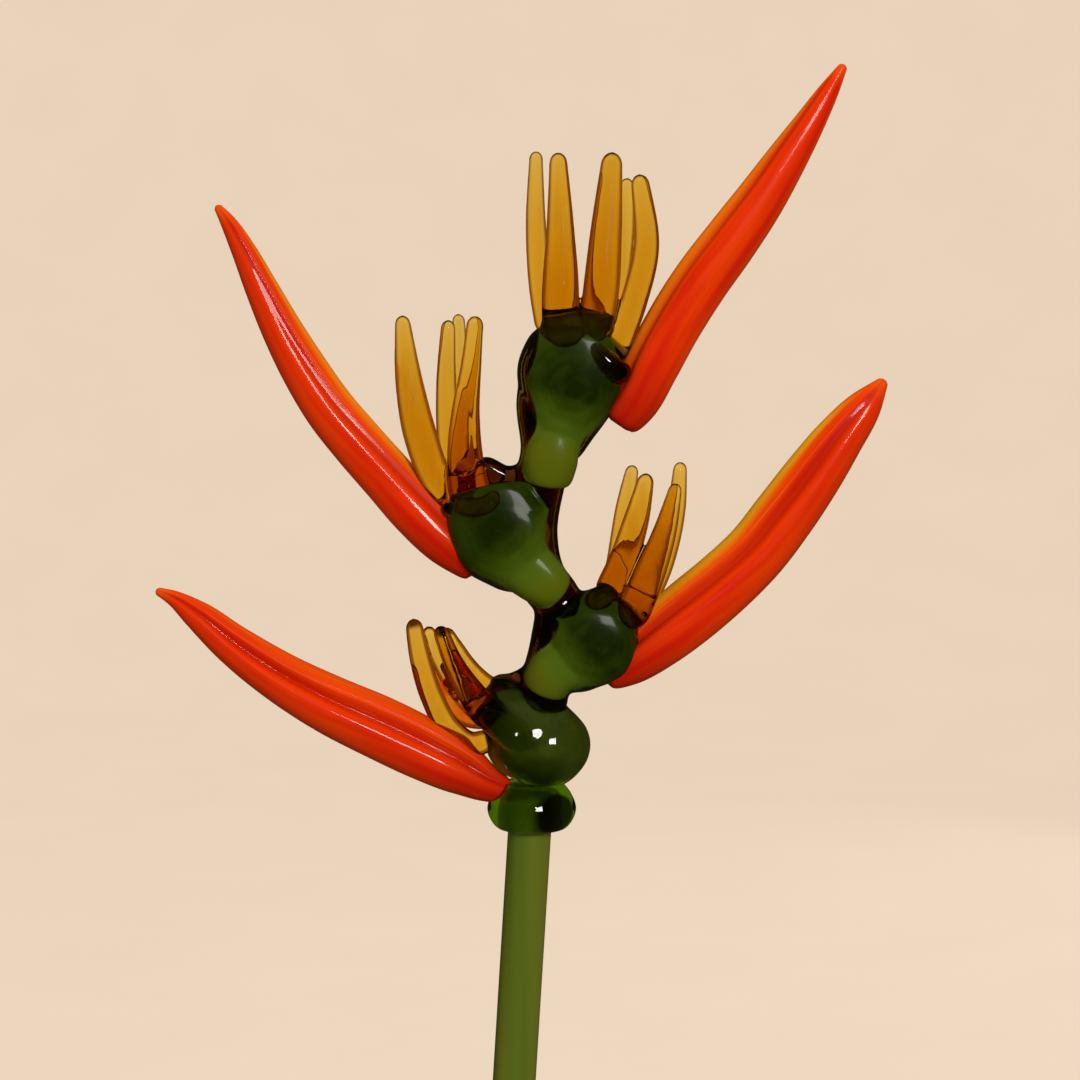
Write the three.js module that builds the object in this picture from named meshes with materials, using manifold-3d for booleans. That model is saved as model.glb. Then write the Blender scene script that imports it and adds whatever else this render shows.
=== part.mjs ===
// A heliconia of lampworked glass, standing in a plain glass bud vase.
//
// Millimetres, +Z up. The origin is the centre of the vase's foot, on the surface that it stands on,
// and the flower's front faces -Y. The flower is worked in the flame from rods of coloured glass: a green
// rod for the stem, a dark olive rod bent to a zigzag with a bulb gathered on each bend, a green heart in
// the upper three bulbs, and on each bulb one red bract, pressed to a trough, and a tuft of amber florets.

import * as THREE from "three";
import { mergeVertices } from "three/addons/utils/BufferGeometryUtils.js";
import Module from "manifold-3d";

const wasm = await Module();
wasm.setup();

// ---------------------------------------------------------------- driving dimensions

const GAP = 0.3; // between pieces that are fused, or that lean on each other

const ROD_RADIUS = 4; // the green rod of the stem
const STEM_LENGTH = 325; // from its foot to the underside of the collar
const STEM_SUNK = 6.5; // how far the rod runs up inside the collar
const LEAN = THREE.MathUtils.degToRad(3.5); // the stem leans on the vase's neck, to +X
const STEM_AT_NECK = 3.42; // from the vase's axis, so that the rod just meets the flare above

const VASE_FLOOR = 8;
const VASE_NECK = 8.5; // the narrowest inner radius, which the stem leans on
const VASE_NECK_HEIGHT = 156;
const VASE_SIDES = 32;

const COLLAR_RADIUS = 8.2;
const COLLAR_HEIGHT = 9.2;

const PAD_FLATNESS = 0.84; // the height of an amber pad, as a share of its width

// ---------------------------------------------------------------- colours

const glass = (color, opacity = 1) =>
  new THREE.MeshStandardMaterial({
    color,
    roughness: 0.05,
    metalness: 0,
    transparent: opacity < 1,
    opacity,
  });
const CLEAR = glass(0xdfe8e4, 0.3);
const STEM_GREEN = glass(0x58761c);
const HEART_GREEN = glass(0x5f8028);
const DARK_OLIVE = glass(0x1d1c0b, 0.85);
const RED = glass(0xd93a10);
const AMBER = glass(0xc98a1e, 0.7);

// ---------------------------------------------------------------- solids and sweeps

const vector = ([x, y, z]) => new THREE.Vector3(x, y, z);

/** A closed geometry as a solid that can be cut and joined. */
function solid(geometry) {
  const bare = geometry.clone();
  bare.deleteAttribute("normal");
  bare.deleteAttribute("uv");
  const merged = mergeVertices(bare, 1e-4);
  return new wasm.Manifold(
    new wasm.Mesh({
      numProp: 3,
      vertProperties: merged.attributes.position.array,
      triVerts: new Uint32Array(merged.index.array),
    }),
  );
}

/** The largest body of a cut solid, as a named mesh. */
function piece(name, cut, material) {
  const [largest] = cut.decompose().sort((a, b) => b.volume() - a.volume());
  const { vertProperties, triVerts } = largest.getMesh();
  const geometry = new THREE.BufferGeometry();
  geometry.setAttribute("position", new THREE.BufferAttribute(vertProperties, 3));
  geometry.setIndex(new THREE.BufferAttribute(triVerts, 1));
  geometry.computeVertexNormals();
  const mesh = new THREE.Mesh(geometry, material);
  mesh.name = name;
  return mesh;
}

const union = (solids) => solids.reduce((a, b) => a.add(b));

const flat = (profile) => profile.map(([r, z]) => new THREE.Vector2(r, z));
const smooth = (profile, steps) => new THREE.SplineCurve(flat(profile)).getPoints(steps);

/** A profile that starts and ends on the axis, turned about Z. */
const turned = (points, sides) => new THREE.LatheGeometry(points, sides).rotateX(Math.PI / 2);

/** A ball of the given radii along X, Y and Z. */
const ball = ([x, y, z], [rx, ry, rz], sides = 14) =>
  new THREE.SphereGeometry(1, sides, sides / 2).rotateX(Math.PI / 2).scale(rx, ry, rz).translate(x, y, z);

/**
 * A body swept along a smooth path with round ends. stations are [x, y, z, radius]. outline(angle) is the
 * section's reach at that angle as a share of the radius, and opening(tangent) is the way 90 degrees faces.
 */
function swept(stations, { sides = 10, steps = 10, grow = 0, outline = () => 1, opening } = {}) {
  const path = new THREE.CatmullRomCurve3(stations.map(vector), false, "centripetal");
  const sizes = new THREE.SplineCurve(stations.map((s, i) => new THREE.Vector2(i, s[3])));
  const ease = (i) => (1 - Math.cos((Math.PI * i) / steps)) / 2; // closer steps at the round ends
  const position = [];
  const index = [];
  for (let i = 0; i <= steps; i++) {
    const t = 0.35 * ease(i) + (0.65 * i) / steps;
    const tangent = path.getTangent(t);
    const up = opening(tangent).projectOnPlane(tangent).normalize();
    const across = new THREE.Vector3().crossVectors(up, tangent);
    const end = i === 0 || i === steps;
    const radius = (end ? 0.55 : 1) * sizes.getPoint(t).y + grow;
    const out = end ? (i === 0 ? -grow : grow) : 0;
    const centre = path.getPoint(t).addScaledVector(tangent, out);
    for (let k = 0; k < sides; k++) {
      const angle = (2 * Math.PI * k) / sides;
      const reach = radius * outline(angle);
      const p = centre
        .clone()
        .addScaledVector(across, reach * Math.cos(angle))
        .addScaledVector(up, reach * Math.sin(angle));
      position.push(p.x, p.y, p.z);
    }
  }
  for (const t of [0, 1]) {
    const out = (t === 0 ? -1 : 1) * (0.4 * sizes.getPoint(t).y + grow);
    position.push(...path.getPoint(t).addScaledVector(path.getTangent(t), out).toArray());
  }
  const at = (i, k) => i * sides + (k % sides);
  const poles = [(steps + 1) * sides, (steps + 1) * sides + 1];
  for (let k = 0; k < sides; k++) {
    index.push(poles[0], at(0, k + 1), at(0, k), poles[1], at(steps, k), at(steps, k + 1));
    for (let i = 0; i < steps; i++) {
      index.push(at(i, k), at(i, k + 1), at(i + 1, k), at(i + 1, k), at(i, k + 1), at(i + 1, k + 1));
    }
  }
  const geometry = new THREE.BufferGeometry();
  geometry.setAttribute("position", new THREE.Float32BufferAttribute(position, 3));
  geometry.setIndex(index);
  return geometry;
}

const front = () => new THREE.Vector3(0, -1, 0);

// ---------------------------------------------------------------- the vase

/** A bud vase: a round body on a flat foot, drawn in to a narrow neck with a flared lip. */
function vase() {
  const outside = [
    [33, 0], [36.8, 3], [40, 22], [38.5, 48], [30.5, 84], [18.5, 116],
    [12.6, 138], [11.3, VASE_NECK_HEIGHT], [13, 181], [17.8, 198.6],
  ];
  const inside = [
    [16.2, 200], [10.2, 182], [VASE_NECK, VASE_NECK_HEIGHT], [10, 138],
    [15.2, 116], [27, 84], [34.8, 48], [36, 22], [29, 10], [18, VASE_FLOOR],
  ];
  const wall = [...smooth(outside, 13), ...smooth(inside, 13)];
  return solid(turned([...flat([[0, 0]]), ...wall, ...flat([[0, VASE_FLOOR]])], VASE_SIDES));
}

// ---------------------------------------------------------------- the flower
// It is placed from the centre of the collar's underside.

/** The stem: a plain rod with a fire-polished foot, leaning on the vase's neck. */
function stem(grow = 0) {
  const radius = ROD_RADIUS + grow;
  const top = STEM_SUNK + grow;
  const profile = [
    [0, -STEM_LENGTH], [2.4, -STEM_LENGTH], [3.6, 0.8 - STEM_LENGTH], [radius, 2.4 - STEM_LENGTH],
    [radius, top - 1.6], [2.6, top], [0, top],
  ];
  return solid(turned(flat(profile), 20).rotateY(LEAN));
}

/** The collar: a flattened bead round the top of the stem. */
function collar(grow = 0) {
  const side = [
    [3.5, -grow], [6.4, 0.8 - grow], [COLLAR_RADIUS + grow, 4.4],
    [6.8 + grow, COLLAR_HEIGHT - 1.8], [4.4, COLLAR_HEIGHT + grow],
  ];
  const profile = [...flat([[0, -grow]]), ...smooth(side, 7), ...flat([[0, COLLAR_HEIGHT + grow]])];
  return solid(turned(profile, 20).translate(0.4, 0, 0));
}

/** The zigzag of the dark rod, as [x, y, z, radius]. */
const ZIGZAG = [
  [2.8, 0, 19, 4.6], [3.2, 0, 27, 4.6], [4.8, 0, 35, 4.7], [5.2, 0, 42.4, 4.6], [2, 0, 47.2, 4.7],
  [0.4, 0, 55, 4.8], [1.8, 0, 64.2, 4.7], [3.2, 0, 70, 4.9], [2.6, 0, 80, 5], [4.4, 0, 89, 4],
];

/** The bulb on each bend: its base, its top, and its girth as pairs of the way up and the radius there. */
const BULBS = [
  {
    base: [5.4, 0, 9.6],
    top: [-6.4, 0, 26.4],
    girth: [[0, 3], [3, 5.6], [8, 8.2], [12, 7.8], [16, 5.9], [20, 3.6]],
  },
  {
    base: [5.6, 0, 27.4],
    top: [17, 0, 43.3],
    girth: [[0, 3], [3, 5.8], [8.5, 9.1], [13, 8.9], [17, 6.6], [19, 3.4]],
  },
  {
    base: [0.6, 0, 46],
    top: [-9.7, 0, 62.3],
    girth: [[0, 3.6], [3, 6.4], [9, 9.5], [13, 9.2], [17, 6.8], [19, 3.4]],
  },
  {
    base: [5, 0, 68.4],
    top: [9.2, 0, 93.6],
    girth: [[0, 3], [4, 5.6], [9, 8.4], [14, 10], [19, 9.2], [25, 4.4]],
  },
];
const LOWEST_BALL = [2.8, 0, 16.6];
const LOWEST_BALL_RADIUS = 8.45;

/** A bulb as a body swept from its base to its top. */
function bulb({ base, top, girth }, grow) {
  const length = girth[girth.length - 1][0];
  const stations = girth.map(([along, radius]) => {
    const centre = vector(base).lerp(vector(top), along / length);
    return [...centre.toArray(), radius];
  });
  return solid(swept(stations, { sides: 14, steps: 9, grow, opening: front }));
}

/** The rachis: the dark rod with its bulbs, one body of glass, with a web to the lowest florets. */
const WEB = [[-6.6, 0.6, 27, 2.4], [-3.4, 0.4, 27.2, 2.2], [1.6, 0, 29.4, 2.8]];
const rachis = (grow = 0) =>
  union([
    solid(swept(ZIGZAG, { sides: 12, steps: 20, grow, opening: front })),
    solid(swept(WEB, { sides: 8, steps: 5, grow, opening: front })),
    ...BULBS.map((b) => bulb(b, grow)),
    solid(ball(LOWEST_BALL, Array(3).fill(LOWEST_BALL_RADIUS + grow))),
  ]);

/** The green hearts: each swells inside its bulb and shows bare at the front, from its foot to its shoulder. */
const HEARTS = [
  [
    [2.4, -2, 25.9, 2.6], [3.5, -2.4, 28.5, 4.2], [6.5, -3, 31.2, 4.6], [10.8, -2.3, 35.9, 7.3],
    [13.6, -1.6, 40.4, 3.8],
  ],
  [
    [3.2, -2, 42.4, 2.8], [1.6, -2.4, 46, 4.7], [-1.2, -2.9, 49.6, 5], [-4.8, -1.8, 56.7, 8.1],
    [-7.4, -1.4, 62.6, 4.2],
  ],
  [
    [3.1, -1.8, 65.2, 3], [3.8, -2.3, 69.2, 5], [5.4, -3, 74, 4.2], [8, -2.4, 82.3, 8],
    [9, -1.6, 89.2, 4.4],
  ],
];
const heart = (stations, grow = 0) => solid(swept(stations, { sides: 12, steps: 9, grow, opening: front }));

/** The room that a heart takes in the dark glass, open to the front all round the heart. */
function heartWindow(stations) {
  const room = heart(stations, GAP);
  return union([0, 3, 6, 9].map((forward) => room.translate([0, -forward, 0])));
}

/**
 * A bract: a thick bar of red glass with a trough pressed along it, drawn out to a nib. turn is how far the
 * trough is rolled to the front from the side that faces the florets.
 */
const BRACTS = [
  {
    turn: 42,
    stations: [
      [-3.6, -1, 8.3, 3], [-10, -1.5, 10.8, 4.9], [-20, -2, 15.8, 6.3], [-28, -2.4, 19.8, 6.3],
      [-36, -2.8, 23.6, 5.9],
      [-45, -3, 28.6, 5.1], [-54, -3, 34.8, 4], [-61, -3, 40.6, 2.8], [-65.3, -3, 43.6, 1.5],
      [-68, -3, 44.8, 0.7],
    ],
  },
  {
    turn: 58,
    stations: [
      [14.6, -0.5, 29.2, 3], [18.5, 0, 31.8, 5], [23.5, 0.5, 35.8, 6.1], [29.5, 1, 40.6, 6.5],
      [35.5, 1.5, 45.6, 6.4],
      [41.5, 1.8, 51.4, 6.2], [47, 2, 58.5, 6.1], [52, 2, 65.5, 5.7], [57, 2, 72.6, 4.8],
      [61.8, 2, 78.8, 3.3],
      [65, 2, 83, 0.9],
    ],
  },
  {
    turn: 52,
    stations: [
      [-10.9, 0, 49.6, 2.9], [-15, 0.4, 53.4, 4.8], [-20.5, 1, 59.2, 5.4], [-26, 1.5, 65.4, 5.3],
      [-31.5, 2, 71.6, 5.2],
      [-36.6, 2.3, 77.8, 5], [-41.4, 2.5, 85.2, 4.6], [-45.4, 2.5, 92.4, 4], [-49.3, 2.5, 100.4, 3.2],
      [-52.4, 2.5, 107, 2.4], [-55.3, 2.5, 112.3, 1.5], [-57.1, 2.5, 114.9, 0.7],
    ],
  },
  {
    turn: 30,
    stations: [
      [17, -1, 76.4, 3.8], [19.2, -1, 79.6, 4.9], [22.2, -1, 85.8, 5.4], [26, -1.2, 93, 5.5],
      [31, -1.6, 101, 5.5],
      [36.5, -2, 108.5, 5.3], [41.6, -2.2, 115.6, 4.8], [46.3, -2.4, 122.8, 4], [50.6, -2.5, 129.6, 3],
      [54.3, -2.5, 135.8, 1.9], [56.7, -2.5, 139.9, 0.8],
    ],
  },
];
const TROUGH_DEPTH = 0.62; // how much of the reach the trough takes
const TROUGH_SPREAD = 0.5; // radians

/** The section's reach: round, a little flat across its keel, with the trough pressed in at 90 degrees. */
function troughed(angle) {
  const away = Math.atan2(Math.sin(angle - Math.PI / 2), Math.cos(angle - Math.PI / 2));
  const flat = 1 - 0.12 * Math.sin(angle) ** 2;
  return flat * (1 - TROUGH_DEPTH * Math.exp(-((away / TROUGH_SPREAD) ** 2)));
}

function bract({ turn, stations }, grow = 0) {
  const roll = THREE.MathUtils.degToRad(turn);
  const inward = (tangent) => {
    const side = Math.sign(tangent.x); // the side of the path that faces up and in to the florets
    const normal = new THREE.Vector3(-side * tangent.z, 0, side * tangent.x);
    return normal.multiplyScalar(Math.cos(roll)).addScaledVector(front(), Math.sin(roll));
  };
  return solid(swept(stations, { sides: 14, steps: 18, grow, outline: troughed, opening: inward }));
}

/** The amber florets: a pad on top of each bulb, and the fingers that are drawn out of it. */
const FLORETS = [
  {
    pad: [-7.2, 0, 22.8, 4.6],
    fingers: [
      [
        [-6.5, -1, 19.4, 2.6], [-10.4, -1.4, 17.4, 2.2], [-14.4, -1.6, 19, 2], [-17.8, -1.6, 24.4, 1.9],
        [-19.8, -1.4, 31, 1.8], [-21, -1.2, 38.2, 1.5],
      ],
      [
        [-6.8, 1.4, 21.6, 2.3], [-10, 1.6, 22.6, 2], [-13.4, 1.8, 26.2, 1.9],
        [-16.4, 1.6, 31.4, 1.7], [-18.8, 1.4, 37.4, 1.3],
      ],
      [
        [-4.2, -3.4, 19.4, 3.3], [-7.6, -4.2, 22.4, 3.1], [-10.6, -4.4, 26.2, 2.6],
        [-13.4, -4.2, 31, 1.9], [-15.7, -4, 37.2, 1.4],
      ],
      [
        [-4.8, 2.2, 25, 2.5], [-8.4, 2.8, 27, 2.1], [-11.4, 3.2, 30, 1.9],
        [-13.8, 3.2, 33.6, 1.7], [-15.6, 3, 37, 1.2],
      ],
    ],
  },
  {
    pad: [17.6, 0, 42.2, 4.8],
    fingers: [
      [[15.4, 2, 44.6, 2.3], [16.2, 2.6, 50, 2], [17.6, 2.8, 60, 1.7], [19, 2.6, 67.2, 1.2]],
      [[15.4, -1.6, 42.6, 2.8], [17, -2, 49, 2.7], [19.4, -2.4, 57.4, 2.4], [21.4, -2.4, 65.8, 1.4]],
      [[18.6, -2.6, 38.6, 3], [21.6, -3.6, 46.4, 2.9], [24.6, -4, 55.6, 2.2], [26.7, -4, 64.2, 1.1]],
      [[20.2, 1.4, 40.4, 2.4], [24.4, 2, 49.4, 2.2], [27, 2.2, 59.6, 1.8], [27.8, 2.2, 67.8, 1.2]],
    ],
  },
  {
    pad: [-11.2, 0, 62, 5],
    fingers: [
      [
        [-12, -0.6, 59.6, 2.6], [-16.6, -1, 64.6, 2.9], [-19.8, -1.2, 72.8, 3.1],
        [-21.8, -1.2, 82, 2.6], [-23.2, -1, 94.6, 1.3],
      ],
      [[-12.8, 2.6, 62, 2.3], [-14.4, 3, 70, 2.2], [-15.2, 3.2, 82, 1.9], [-14.8, 3, 93.8, 1.3]],
      [[-10.4, 4, 62.4, 2.2], [-11.8, 5, 72, 1.9], [-13, 5.6, 84, 1.6], [-13.4, 5.6, 95, 1.2]],
      [
        [-9.6, -2.4, 60.4, 3.3], [-11.4, -3, 68, 3.2], [-11.6, -3.2, 77, 2.6],
        [-10.6, -3.2, 86, 1.9], [-9.8, -3, 94.4, 1.5],
      ],
      [[-12, -3.8, 61.6, 2.4], [-13.8, -5.6, 70, 2.2], [-12.8, -6, 81.6, 1.2]],
    ],
  },
  {
    pad: [8.8, 0, 92.2, 6.4],
    fingers: [
      [[3.4, 2.4, 92.4, 2.3], [2, 2.8, 100, 2.1], [1.2, 3, 111, 1.9], [1.2, 2.6, 124.6, 1.2]],
      [[6.4, -3, 89.8, 3.2], [6, -4, 98, 3.3], [5.6, -4.2, 110, 2.6], [5.2, -4, 123.8, 1.5]],
      [[11.6, -2.2, 90, 3], [12.8, -2.8, 98, 3.3], [13.9, -3, 110, 2.9], [15, -2.8, 123.8, 1.8]],
      [[12.2, 3.4, 91, 2.4], [15.6, 4.4, 99, 2.1], [17.4, 4.8, 109, 1.8], [17.9, 4.6, 119.8, 1.3]],
      [[14.6, -0.6, 88.4, 2.4], [19.2, -1.2, 97.6, 2.4], [21.2, -1.4, 107, 2.4], [20, -1.2, 120, 1.6]],
    ],
  },
];

function florets({ pad, fingers }) {
  const radius = pad[3];
  return union([
    solid(ball(pad, [radius, radius, PAD_FLATNESS * radius], 12)),
    ...fingers.map((stations) => solid(swept(stations, { sides: 8, steps: 7, opening: front }))),
  ]);
}

// ---------------------------------------------------------------- the assembly

const part = new THREE.Group();
part.add(piece("vase", vase(), CLEAR));

const flower = new THREE.Group();
const footAxis = STEM_AT_NECK - (VASE_NECK_HEIGHT - VASE_FLOOR) * Math.tan(LEAN);
flower.position.set(
  footAxis + STEM_LENGTH * Math.sin(LEAN),
  0,
  VASE_FLOOR + GAP + STEM_LENGTH * Math.cos(LEAN),
);

const stemSpace = stem(GAP);
const collarSpace = collar(GAP);
const rachisSpace = rachis(GAP);
const heartSpace = union(HEARTS.map((h) => heart(h, GAP)));
const heartWindows = union(HEARTS.map(heartWindow));

flower.add(piece("stem", stem(), STEM_GREEN));
flower.add(piece("collar", collar().subtract(stemSpace), DARK_OLIVE));
flower.add(piece("rachis", rachis().subtract(heartWindows).subtract(collarSpace), DARK_OLIVE));
HEARTS.forEach((h, i) => flower.add(piece(`heart_${i + 2}`, heart(h), HEART_GREEN)));
BRACTS.forEach((b, i) => {
  const bare = bract(b).subtract(rachisSpace).subtract(heartSpace).subtract(collarSpace);
  flower.add(piece(`bract_${i + 1}`, bare, RED));
  const tuft = florets(FLORETS[i]).subtract(rachisSpace).subtract(heartSpace).subtract(bract(b, GAP));
  flower.add(piece(`florets_${i + 1}`, tuft, AMBER));
});
part.add(flower);

export default part;
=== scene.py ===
"""A heliconia of lampworked glass, in a clear bud vase.

The flower is worked in the flame from rods of coloured glass. A green rod is the stem. Above it a dark
olive rod zigzags up through four bulbs, and each bulb carries a red bract and a tuft of amber florets.
Lengths are in millimetres until a piece is finished, and then in metres.
"""

import math

import bmesh
import bpy
import numpy as np
from mathutils import Matrix, Vector


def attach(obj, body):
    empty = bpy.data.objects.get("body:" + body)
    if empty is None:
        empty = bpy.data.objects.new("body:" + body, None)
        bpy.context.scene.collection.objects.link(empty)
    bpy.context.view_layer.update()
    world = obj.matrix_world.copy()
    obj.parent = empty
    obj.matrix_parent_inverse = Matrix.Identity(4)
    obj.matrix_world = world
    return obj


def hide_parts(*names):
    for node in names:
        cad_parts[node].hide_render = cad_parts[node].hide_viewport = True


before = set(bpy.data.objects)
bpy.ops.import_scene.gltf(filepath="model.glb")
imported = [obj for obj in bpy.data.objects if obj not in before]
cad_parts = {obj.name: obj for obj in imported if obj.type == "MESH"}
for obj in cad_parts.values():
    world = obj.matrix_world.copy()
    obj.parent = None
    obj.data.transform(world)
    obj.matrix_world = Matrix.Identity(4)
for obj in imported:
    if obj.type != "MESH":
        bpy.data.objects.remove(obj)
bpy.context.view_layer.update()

# ------------------------------------------------------------------------------------------------ Vase
# A bud vase of clear glass, blown, with a thick floor and a fire-polished lip. Nothing fixes the flower
# in it: the stem stands on the floor and leans on the neck.

MM = 0.001  # metres
VASE_FLOOR = 8
VASE_NECK = 8.5
VASE_NECK_HEIGHT = 156
VASE_OUTSIDE = [
    (33, 0), (36.8, 3), (40, 22), (38.5, 48), (30.5, 84), (18.5, 116),
    (12.6, 138), (11.3, VASE_NECK_HEIGHT), (13, 181), (17.8, 198.6),
]
VASE_INSIDE = [
    (16.2, 200), (10.2, 182), (VASE_NECK, VASE_NECK_HEIGHT), (10, 138),
    (15.2, 116), (27, 84), (34.8, 48), (36, 22), (29, 10), (18, VASE_FLOOR),
]
UNDERSIDE_MIDDLE = (8, 0)
VASE_FLOOR_MIDDLE = (6, VASE_FLOOR)
VASE_CLEAR = (0.9985, 0.9993, 0.999)  # the light let through each millimetre: red, green and blue


def through(stations, steps):
    """A smooth curve through the stations, at even steps: between two stations it is a cubic whose end
    slopes are those of the chords round each station."""
    knots = np.array(stations, float)
    reach = np.r_[0, np.cumsum(np.linalg.norm(np.diff(knots[:, :3], axis=0), axis=1))]
    slope = np.gradient(knots, reach, axis=0)
    at = np.linspace(0, reach[-1], steps)
    i = np.clip(np.searchsorted(reach, at, "right") - 1, 0, len(reach) - 2)
    gap = (reach[i + 1] - reach[i])[:, None]
    u = (at - reach[i])[:, None] / gap
    start = (2 * u**3 - 3 * u**2 + 1) * knots[i] + (u**3 - 2 * u**2 + u) * gap * slope[i]
    end = (3 * u**2 - 2 * u**3) * knots[i + 1] + (u**3 - u**2) * gap * slope[i + 1]
    return start + end


def ringed(name, rings, poles, inside_out=False):
    """A closed mesh of rings of points, each ring joined to the next in squares, and the first and last to
    a pole in triangles. Its UV map Along is the way round each ring, and the way from first to last."""
    count, sides, _ = rings.shape
    first_pole, last_pole = count * sides, count * sides + 1
    k = np.arange(sides)
    i, j = [g.ravel() for g in np.meshgrid(np.arange(count - 1), k, indexing="ij")]
    after = (j + 1) % sides
    squares = np.stack([i * sides + j, i * sides + after, (i + 1) * sides + after, (i + 1) * sides + j], 1)
    last_ring = (count - 1) * sides
    turn = (k + 1) % sides
    first_fan = np.stack([np.full(sides, first_pole), turn, k], 1)
    last_fan = np.stack([np.full(sides, last_pole), last_ring + k, last_ring + turn], 1)
    square_uv = np.stack([j, i, j + 1, i, j + 1, i + 1, j, i + 1], 1)
    low, high = np.zeros(sides), np.full(sides, count - 1)
    first_uv = np.stack([k + 0.5, low, k + 1, low, k, low], 1)
    last_uv = np.stack([k + 0.5, high, k, high, k + 1, high], 1)
    uv = np.concatenate([corners.reshape(-1, 2) for corners in (square_uv, first_uv, last_uv)])
    uv = uv / (sides, count - 1)
    mesh = bpy.data.meshes.new(name)
    points = np.concatenate([rings.reshape(-1, 3), np.array(poles, float)])
    mesh.from_pydata(points.tolist(), [], [*squares.tolist(), *first_fan.tolist(), *last_fan.tolist()])
    mesh.uv_layers.new(name="Along").data.foreach_set("uv", uv.ravel())
    if inside_out:
        mesh.flip_normals()
    mesh.shade_smooth()
    return mesh


def turned(name, profile, sides=128):
    """Each point (radius, height) of the profile carried round the Z axis, from pole to pole."""
    r, z = np.array(profile, float).T
    turn = np.linspace(0, 2 * math.pi, sides, endpoint=False)
    rings = np.stack(
        [np.outer(r, np.cos(turn)), np.outer(r, np.sin(turn)), np.repeat(z[:, None], sides, 1)], 2
    )
    return ringed(name, rings, [(0, 0, z[0]), (0, 0, z[-1])])


def finished(mesh, name, slot, material, *nodes):
    """Puts a mesh of millimetres into the scene in metres, as a piece that stands for the named nodes."""
    mesh.name = name
    mesh.transform(Matrix.Scale(MM, 4))
    mesh.materials.clear()
    mesh.materials.append(material)
    piece = bpy.data.objects.new(name, mesh)
    bpy.context.collection.objects.link(piece)
    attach(piece, "root")
    if nodes:
        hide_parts(*nodes)


class Value:
    """A number in a material's node tree. Arithmetic on it adds Math nodes."""

    def __init__(self, shader, socket):
        self.shader, self.socket = shader, socket

    def _math(self, operation, *terms):
        """What a Math node makes of the terms."""
        inputs = dict(enumerate(terms))
        return self.shader.node("ShaderNodeMath", {"operation": operation}, inputs)

    def __add__(self, other):
        return self._math("ADD", self, other)

    def __sub__(self, other):
        return self._math("SUBTRACT", self, other)

    def __mul__(self, other):
        return self._math("MULTIPLY", self, other)

    def __truediv__(self, other):
        return self._math("DIVIDE", self, other)

    def __pow__(self, other):
        return self._math("POWER", self, other)

    def __abs__(self):
        return self._math("ABSOLUTE", self)

    def __radd__(self, other):
        return self._math("ADD", other, self)

    def __rsub__(self, other):
        return self._math("SUBTRACT", other, self)

    def __rmul__(self, other):
        return self._math("MULTIPLY", other, self)

    def rise(self, low, high):
        """0 below low, 1 above high, and an even curve between."""
        span = {"interpolation_type": "SMOOTHSTEP"}
        return self.shader.node("ShaderNodeMapRange", span, {"Value": self, 1: low, 2: high})


class Shader:
    """A material that is built node by node, round one Principled BSDF."""

    def __init__(self, name, **constants):
        self.material = bpy.data.materials.new(name)
        self.material.use_nodes = True
        self.tree = self.material.node_tree
        self.body = self.tree.nodes["Principled BSDF"]
        self.output = self.tree.nodes["Material Output"]
        for key, value in constants.items():
            self.body.inputs[key.replace("_", " ")].default_value = value

    def node(self, kind, settings=None, inputs=None, out=0):
        """Adds any node: its settings first, a ramp's stops among them, and then its sockets' inputs."""
        made = self.tree.nodes.new(kind)
        for key, value in (settings or {}).items():
            if key == "stops":
                while len(made.color_ramp.elements) < len(value):
                    made.color_ramp.elements.new(0.5)
                for element, (place, colour) in zip(made.color_ramp.elements, value):
                    element.position = place
                    element.color = (*colour, 1)
            else:
                setattr(made, key, value)
        for key, value in (inputs or {}).items():
            self.feed(made.inputs[key], value)
        return Value(self, made.outputs[out])

    def feed(self, socket, value):
        """Links a Value to the socket, or sets the socket to a plain number, colour or vector."""
        if isinstance(value, Value):
            self.tree.links.new(value.socket, socket)
        else:
            socket.default_value = value

    def noise(self, scale, vector=None, detail=3.0, stretch=(1, 1, 1)):
        """Soft noise from 0 to 1. scale is in lumps to the metre, and stretch thins them along an axis."""
        place = vector or self.node("ShaderNodeTexCoord", out="Object")
        place = self.node("ShaderNodeMapping", None, {"Vector": place, "Scale": stretch})
        return self.node("ShaderNodeTexNoise", None, {"Vector": place, "Scale": scale, "Detail": detail})

    def mix(self, share, low, high):
        """A colour between low, at share 0, and high, at share 1."""
        sockets = {0: share, 6: low, 7: high}
        return self.node("ShaderNodeMix", {"data_type": "RGBA"}, sockets, 2)

    def wear(self, bump, depth, **surface):
        """Feeds the sockets that vary, and a bump that is depth metres high."""
        normal = self.node("ShaderNodeBump", None, {"Strength": 1.0, "Distance": depth, "Height": bump})
        self.feed(self.body.inputs["Normal"], normal)
        for key, value in surface.items():
            self.feed(self.body.inputs[key.replace("_", " ")], value)
        return self.material

    def absorb(self, *per_millimetre):
        """Clear glass that lets these shares of red, green and blue through each millimetre."""
        taken = -np.log(per_millimetre) / MM
        volume = self.tree.nodes.new("ShaderNodeVolumeAbsorption")
        volume.inputs["Color"].default_value = (*(1 - taken / taken.max()), 1)
        volume.inputs["Density"].default_value = taken.max()
        self.tree.links.new(volume.outputs[0], self.output.inputs["Volume"])


RIPPLE_DEPTH = 0.00004  # metres
POLISH, HAZE = 0.006, 0.03  # the roughness of clear glass, and what a full haze adds to it
SPOT_WAVER = 1.2  # how far the waves push a stain's edge in and out, in its radii
SPOT_EDGE = (1.35, 1.65)
STREAKS = 900  # fine streaks of drawn glass to the metre
STREAK_SHADE = 0.15
# The dark rim of clear glass is painted shade: darker and redder where the glass curves away from the
# view.
RIM_START = 0.35  # where the dark rim begins, as a share of where it is full
PAINTED_RIM_SHADE = (0.20, 0.055, 0.012, 1)


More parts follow.
